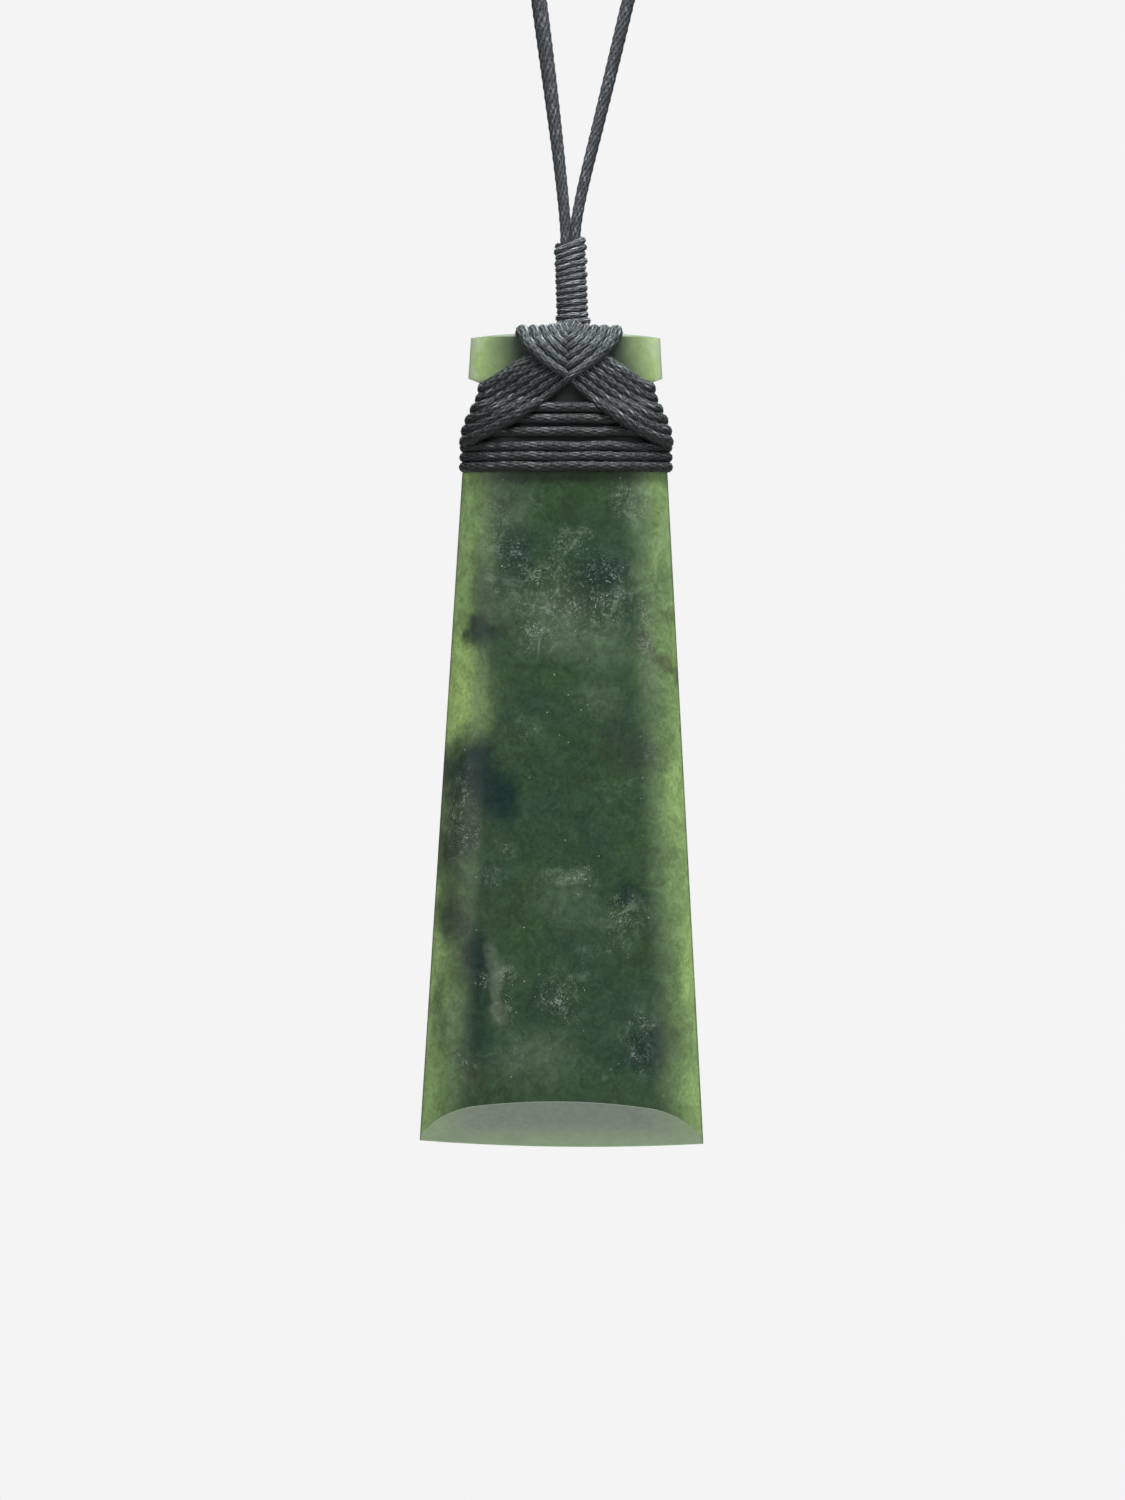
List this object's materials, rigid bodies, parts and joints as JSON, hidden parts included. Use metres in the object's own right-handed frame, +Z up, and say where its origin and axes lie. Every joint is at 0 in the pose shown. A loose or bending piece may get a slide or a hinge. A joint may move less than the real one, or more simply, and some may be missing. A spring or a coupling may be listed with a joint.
{
  "type": "toki adze pendant",
  "caption": "Notched adze-shaped green stone pendant, bound at the butt with waxed braid and hung on a braided neck cord.",
  "frame": {"origin": "under the middle of the top of the neck cord's loop, where it lies on the back of the neck", "axes": "+X to the right of the pendant seen from its front, the blade's domed front faces -Y, +Z up along the hanging pendant"},
  "size_m": [0.0905, 0.0081, 0.3761],
  "materials": {
    "nephrite": "satin polished translucent green stone",
    "binding_braid": "fine waxed braid, dark grey",
    "neck_braid": "round waxed braid, dark grey"
  },
  "bodies": {
    "root": {"stone_blade": "nephrite", "band_row_1": "binding_braid", "band_row_2": "binding_braid", "band_row_3": "binding_braid", "band_row_4": "binding_braid", "band_row_5": "binding_braid", "band_row_6": "binding_braid", "fan_left_1": "binding_braid", "fan_left_2": "binding_braid", "fan_left_3": "binding_braid", "fan_left_4": "binding_braid", "fan_left_5": "binding_braid", "fan_left_6": "binding_braid", "fan_right_1": "binding_braid", "fan_right_2": "binding_braid", "fan_right_3": "binding_braid", "fan_right_4": "binding_braid", "fan_right_5": "binding_braid", "fan_right_6": "binding_braid", "saddle_left_1": "binding_braid", "saddle_left_2": "binding_braid", "saddle_left_3": "binding_braid", "saddle_left_4": "binding_braid", "saddle_left_5": "binding_braid", "saddle_right_1": "binding_braid", "saddle_right_2": "binding_braid", "saddle_right_3": "binding_braid", "saddle_right_4": "binding_braid", "saddle_right_5": "binding_braid", "stem_whipping": "binding_braid", "neck_cord": "neck_braid"}
  },
  "joints": []
}
